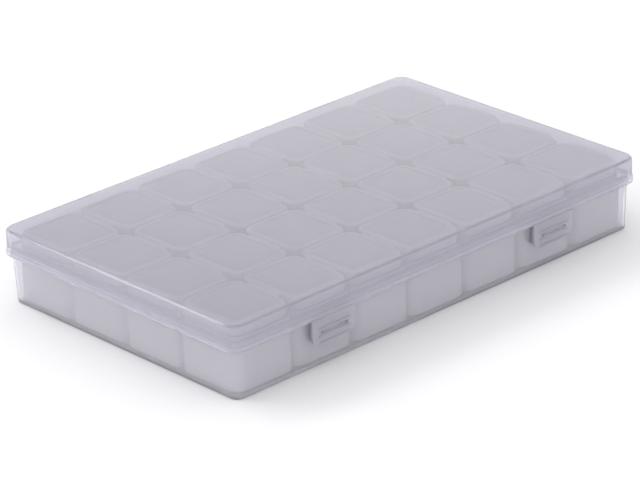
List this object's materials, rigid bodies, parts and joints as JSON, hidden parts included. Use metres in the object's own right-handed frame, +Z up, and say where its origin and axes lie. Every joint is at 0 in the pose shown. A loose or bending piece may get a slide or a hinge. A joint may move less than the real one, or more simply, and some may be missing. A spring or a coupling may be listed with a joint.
{
  "type": "compartment sewing box",
  "caption": "Flat translucent plastic box with a hinged, latched lid over lift-out trays of small cups, each cup with its own flip lid.",
  "frame": {"origin": "centre of the flat face that the case stands on", "axes": "+X along the case's long side, +Y to the hinged back, +Z up; the latches face -Y"},
  "size_m": [0.1756, 0.1141, 0.025],
  "materials": {
    "case_shell": "frosted translucent polypropylene, lightly glossy on the outside",
    "latch": "frosted translucent polypropylene",
    "tray": "clear to milky moulded polypropylene",
    "flip_lid": "clear to milky moulded polypropylene"
  },
  "bodies": {
    "case_base": {"case_base": "case_shell"},
    "case_lid": {"case_lid": "case_shell"},
    "latch_left": {"latch_left": "latch"},
    "latch_right": {"latch_right": "latch"},
    "tray_1": {"tray_1": "tray"},
    "flip_lid_1_1": {"flip_lid_1_1": "flip_lid"},
    "flip_lid_1_2": {"flip_lid_1_2": "flip_lid"},
    "flip_lid_1_3": {"flip_lid_1_3": "flip_lid"},
    "flip_lid_1_4": {"flip_lid_1_4": "flip_lid"},
    "tray_2": {"tray_2": "tray"},
    "flip_lid_2_1": {"flip_lid_2_1": "flip_lid"},
    "flip_lid_2_2": {"flip_lid_2_2": "flip_lid"},
    "flip_lid_2_3": {"flip_lid_2_3": "flip_lid"},
    "flip_lid_2_4": {"flip_lid_2_4": "flip_lid"},
    "tray_3": {"tray_3": "tray"},
    "flip_lid_3_1": {"flip_lid_3_1": "flip_lid"},
    "flip_lid_3_2": {"flip_lid_3_2": "flip_lid"},
    "flip_lid_3_3": {"flip_lid_3_3": "flip_lid"},
    "flip_lid_3_4": {"flip_lid_3_4": "flip_lid"},
    "tray_4": {"tray_4": "tray"},
    "flip_lid_4_1": {"flip_lid_4_1": "flip_lid"},
    "flip_lid_4_2": {"flip_lid_4_2": "flip_lid"},
    "flip_lid_4_3": {"flip_lid_4_3": "flip_lid"},
    "flip_lid_4_4": {"flip_lid_4_4": "flip_lid"},
    "tray_5": {"tray_5": "tray"},
    "flip_lid_5_1": {"flip_lid_5_1": "flip_lid"},
    "flip_lid_5_2": {"flip_lid_5_2": "flip_lid"},
    "flip_lid_5_3": {"flip_lid_5_3": "flip_lid"},
    "flip_lid_5_4": {"flip_lid_5_4": "flip_lid"},
    "tray_6": {"tray_6": "tray"},
    "flip_lid_6_1": {"flip_lid_6_1": "flip_lid"},
    "flip_lid_6_2": {"flip_lid_6_2": "flip_lid"},
    "flip_lid_6_3": {"flip_lid_6_3": "flip_lid"},
    "flip_lid_6_4": {"flip_lid_6_4": "flip_lid"},
    "tray_7": {"tray_7": "tray"},
    "flip_lid_7_1": {"flip_lid_7_1": "flip_lid"},
    "flip_lid_7_2": {"flip_lid_7_2": "flip_lid"},
    "flip_lid_7_3": {"flip_lid_7_3": "flip_lid"},
    "flip_lid_7_4": {"flip_lid_7_4": "flip_lid"}
  },
  "joints": [
    {"name": "case_lid_hinge", "type": "hinge", "parent": "case_base", "child": "case_lid", "pos_m": [0, 0.057, 0.013], "axis": [-1, 0, 0], "range_deg": [0, 180]},
    {"name": "latch_left_flip", "type": "hinge", "parent": "case_lid", "child": "latch_left", "pos_m": [-0.0477, -0.0538, 0.016], "axis": [-1, 0, 0], "range_deg": [0, 90]},
    {"name": "latch_right_flip", "type": "hinge", "parent": "case_lid", "child": "latch_right", "pos_m": [0.0477, -0.0538, 0.016], "axis": [-1, 0, 0], "range_deg": [0, 90]},
    {"name": "tray_1_lift", "type": "slide", "parent": "case_base", "child": "tray_1", "axis": [0, 0, 1], "range_m": [0, 0.02]},
    {"name": "flip_lid_1_1_hinge", "type": "hinge", "parent": "tray_1", "child": "flip_lid_1_1", "pos_m": [-0.0606, -0.0378, 0.0225], "axis": [0, 1, 0], "range_deg": [0, 90]},
    {"name": "flip_lid_1_2_hinge", "type": "hinge", "parent": "tray_1", "child": "flip_lid_1_2", "pos_m": [-0.0606, -0.0126, 0.0225], "axis": [0, 1, 0], "range_deg": [0, 90]},
    {"name": "flip_lid_1_3_hinge", "type": "hinge", "parent": "tray_1", "child": "flip_lid_1_3", "pos_m": [-0.0606, 0.0126, 0.0225], "axis": [0, 1, 0], "range_deg": [0, 90]},
    {"name": "flip_lid_1_4_hinge", "type": "hinge", "parent": "tray_1", "child": "flip_lid_1_4", "pos_m": [-0.0606, 0.0378, 0.0225], "axis": [0, 1, 0], "range_deg": [0, 90]},
    {"name": "tray_2_lift", "type": "slide", "parent": "case_base", "child": "tray_2", "axis": [0, 0, 1], "range_m": [0, 0.02]},
    {"name": "flip_lid_2_1_hinge", "type": "hinge", "parent": "tray_2", "child": "flip_lid_2_1", "pos_m": [-0.0366, -0.0378, 0.0225], "axis": [0, 1, 0], "range_deg": [0, 90]},
    {"name": "flip_lid_2_2_hinge", "type": "hinge", "parent": "tray_2", "child": "flip_lid_2_2", "pos_m": [-0.0366, -0.0126, 0.0225], "axis": [0, 1, 0], "range_deg": [0, 90]},
    {"name": "flip_lid_2_3_hinge", "type": "hinge", "parent": "tray_2", "child": "flip_lid_2_3", "pos_m": [-0.0366, 0.0126, 0.0225], "axis": [0, 1, 0], "range_deg": [0, 90]},
    {"name": "flip_lid_2_4_hinge", "type": "hinge", "parent": "tray_2", "child": "flip_lid_2_4", "pos_m": [-0.0366, 0.0378, 0.0225], "axis": [0, 1, 0], "range_deg": [0, 90]},
    {"name": "tray_3_lift", "type": "slide", "parent": "case_base", "child": "tray_3", "axis": [0, 0, 1], "range_m": [0, 0.02]},
    {"name": "flip_lid_3_1_hinge", "type": "hinge", "parent": "tray_3", "child": "flip_lid_3_1", "pos_m": [-0.0126, -0.0378, 0.0225], "axis": [0, 1, 0], "range_deg": [0, 90]},
    {"name": "flip_lid_3_2_hinge", "type": "hinge", "parent": "tray_3", "child": "flip_lid_3_2", "pos_m": [-0.0126, -0.0126, 0.0225], "axis": [0, 1, 0], "range_deg": [0, 90]},
    {"name": "flip_lid_3_3_hinge", "type": "hinge", "parent": "tray_3", "child": "flip_lid_3_3", "pos_m": [-0.0126, 0.0126, 0.0225], "axis": [0, 1, 0], "range_deg": [0, 90]},
    {"name": "flip_lid_3_4_hinge", "type": "hinge", "parent": "tray_3", "child": "flip_lid_3_4", "pos_m": [-0.0126, 0.0378, 0.0225], "axis": [0, 1, 0], "range_deg": [0, 90]},
    {"name": "tray_4_lift", "type": "slide", "parent": "case_base", "child": "tray_4", "axis": [0, 0, 1], "range_m": [0, 0.02]},
    {"name": "flip_lid_4_1_hinge", "type": "hinge", "parent": "tray_4", "child": "flip_lid_4_1", "pos_m": [0.0114, -0.0378, 0.0225], "axis": [0, 1, 0], "range_deg": [0, 90]},
    {"name": "flip_lid_4_2_hinge", "type": "hinge", "parent": "tray_4", "child": "flip_lid_4_2", "pos_m": [0.0114, -0.0126, 0.0225], "axis": [0, 1, 0], "range_deg": [0, 90]},
    {"name": "flip_lid_4_3_hinge", "type": "hinge", "parent": "tray_4", "child": "flip_lid_4_3", "pos_m": [0.0114, 0.0126, 0.0225], "axis": [0, 1, 0], "range_deg": [0, 90]},
    {"name": "flip_lid_4_4_hinge", "type": "hinge", "parent": "tray_4", "child": "flip_lid_4_4", "pos_m": [0.0114, 0.0378, 0.0225], "axis": [0, 1, 0], "range_deg": [0, 90]},
    {"name": "tray_5_lift", "type": "slide", "parent": "case_base", "child": "tray_5", "axis": [0, 0, 1], "range_m": [0, 0.02]},
    {"name": "flip_lid_5_1_hinge", "type": "hinge", "parent": "tray_5", "child": "flip_lid_5_1", "pos_m": [0.0354, -0.0378, 0.0225], "axis": [0, 1, 0], "range_deg": [0, 90]},
    {"name": "flip_lid_5_2_hinge", "type": "hinge", "parent": "tray_5", "child": "flip_lid_5_2", "pos_m": [0.0354, -0.0126, 0.0225], "axis": [0, 1, 0], "range_deg": [0, 90]},
    {"name": "flip_lid_5_3_hinge", "type": "hinge", "parent": "tray_5", "child": "flip_lid_5_3", "pos_m": [0.0354, 0.0126, 0.0225], "axis": [0, 1, 0], "range_deg": [0, 90]},
    {"name": "flip_lid_5_4_hinge", "type": "hinge", "parent": "tray_5", "child": "flip_lid_5_4", "pos_m": [0.0354, 0.0378, 0.0225], "axis": [0, 1, 0], "range_deg": [0, 90]},
    {"name": "tray_6_lift", "type": "slide", "parent": "case_base", "child": "tray_6", "axis": [0, 0, 1], "range_m": [0, 0.02]},
    {"name": "flip_lid_6_1_hinge", "type": "hinge", "parent": "tray_6", "child": "flip_lid_6_1", "pos_m": [0.0594, -0.0378, 0.0225], "axis": [0, 1, 0], "range_deg": [0, 90]},
    {"name": "flip_lid_6_2_hinge", "type": "hinge", "parent": "tray_6", "child": "flip_lid_6_2", "pos_m": [0.0594, -0.0126, 0.0225], "axis": [0, 1, 0], "range_deg": [0, 90]},
    {"name": "flip_lid_6_3_hinge", "type": "hinge", "parent": "tray_6", "child": "flip_lid_6_3", "pos_m": [0.0594, 0.0126, 0.0225], "axis": [0, 1, 0], "range_deg": [0, 90]},
    {"name": "flip_lid_6_4_hinge", "type": "hinge", "parent": "tray_6", "child": "flip_lid_6_4", "pos_m": [0.0594, 0.0378, 0.0225], "axis": [0, 1, 0], "range_deg": [0, 90]},
    {"name": "tray_7_lift", "type": "slide", "parent": "case_base", "child": "tray_7", "axis": [0, 0, 1], "range_m": [0, 0.02]},
    {"name": "flip_lid_7_1_hinge", "type": "hinge", "parent": "tray_7", "child": "flip_lid_7_1", "pos_m": [0.0834, -0.0378, 0.0225], "axis": [0, 1, 0], "range_deg": [0, 90]},
    {"name": "flip_lid_7_2_hinge", "type": "hinge", "parent": "tray_7", "child": "flip_lid_7_2", "pos_m": [0.0834, -0.0126, 0.0225], "axis": [0, 1, 0], "range_deg": [0, 90]},
    {"name": "flip_lid_7_3_hinge", "type": "hinge", "parent": "tray_7", "child": "flip_lid_7_3", "pos_m": [0.0834, 0.0126, 0.0225], "axis": [0, 1, 0], "range_deg": [0, 90]},
    {"name": "flip_lid_7_4_hinge", "type": "hinge", "parent": "tray_7", "child": "flip_lid_7_4", "pos_m": [0.0834, 0.0378, 0.0225], "axis": [0, 1, 0], "range_deg": [0, 90]}
  ],
  "couplings": [
    {"joint": "tray_1_lift", "follows": "case_lid_hinge", "m_per_rad": 0.002},
    {"joint": "flip_lid_1_1_hinge", "follows": "case_lid_hinge", "ratio": 0.4},
    {"joint": "flip_lid_1_2_hinge", "follows": "case_lid_hinge", "ratio": 0.4},
    {"joint": "flip_lid_1_3_hinge", "follows": "case_lid_hinge", "ratio": 0.4},
    {"joint": "flip_lid_1_4_hinge", "follows": "case_lid_hinge", "ratio": 0.4},
    {"joint": "tray_2_lift", "follows": "case_lid_hinge", "m_per_rad": 0.002},
    {"joint": "flip_lid_2_1_hinge", "follows": "case_lid_hinge", "ratio": 0.4},
    {"joint": "flip_lid_2_2_hinge", "follows": "case_lid_hinge", "ratio": 0.4},
    {"joint": "flip_lid_2_3_hinge", "follows": "case_lid_hinge", "ratio": 0.4},
    {"joint": "flip_lid_2_4_hinge", "follows": "case_lid_hinge", "ratio": 0.4},
    {"joint": "tray_3_lift", "follows": "case_lid_hinge", "m_per_rad": 0.002},
    {"joint": "flip_lid_3_1_hinge", "follows": "case_lid_hinge", "ratio": 0.4},
    {"joint": "flip_lid_3_2_hinge", "follows": "case_lid_hinge", "ratio": 0.4},
    {"joint": "flip_lid_3_3_hinge", "follows": "case_lid_hinge", "ratio": 0.4},
    {"joint": "flip_lid_3_4_hinge", "follows": "case_lid_hinge", "ratio": 0.4},
    {"joint": "tray_4_lift", "follows": "case_lid_hinge", "m_per_rad": 0.002},
    {"joint": "flip_lid_4_1_hinge", "follows": "case_lid_hinge", "ratio": 0.4},
    {"joint": "flip_lid_4_2_hinge", "follows": "case_lid_hinge", "ratio": 0.4},
    {"joint": "flip_lid_4_3_hinge", "follows": "case_lid_hinge", "ratio": 0.4},
    {"joint": "flip_lid_4_4_hinge", "follows": "case_lid_hinge", "ratio": 0.4},
    {"joint": "tray_5_lift", "follows": "case_lid_hinge", "m_per_rad": 0.002},
    {"joint": "flip_lid_5_1_hinge", "follows": "case_lid_hinge", "ratio": 0.4},
    {"joint": "flip_lid_5_2_hinge", "follows": "case_lid_hinge", "ratio": 0.4},
    {"joint": "flip_lid_5_3_hinge", "follows": "case_lid_hinge", "ratio": 0.4},
    {"joint": "flip_lid_5_4_hinge", "follows": "case_lid_hinge", "ratio": 0.4},
    {"joint": "tray_6_lift", "follows": "case_lid_hinge", "m_per_rad": 0.002},
    {"joint": "flip_lid_6_1_hinge", "follows": "case_lid_hinge", "ratio": 0.4},
    {"joint": "flip_lid_6_2_hinge", "follows": "case_lid_hinge", "ratio": 0.4},
    {"joint": "flip_lid_6_3_hinge", "follows": "case_lid_hinge", "ratio": 0.4},
    {"joint": "flip_lid_6_4_hinge", "follows": "case_lid_hinge", "ratio": 0.4},
    {"joint": "tray_7_lift", "follows": "case_lid_hinge", "m_per_rad": 0.002},
    {"joint": "flip_lid_7_1_hinge", "follows": "case_lid_hinge", "ratio": 0.4},
    {"joint": "flip_lid_7_2_hinge", "follows": "case_lid_hinge", "ratio": 0.4},
    {"joint": "flip_lid_7_3_hinge", "follows": "case_lid_hinge", "ratio": 0.4},
    {"joint": "flip_lid_7_4_hinge", "follows": "case_lid_hinge", "ratio": 0.4}
  ]
}
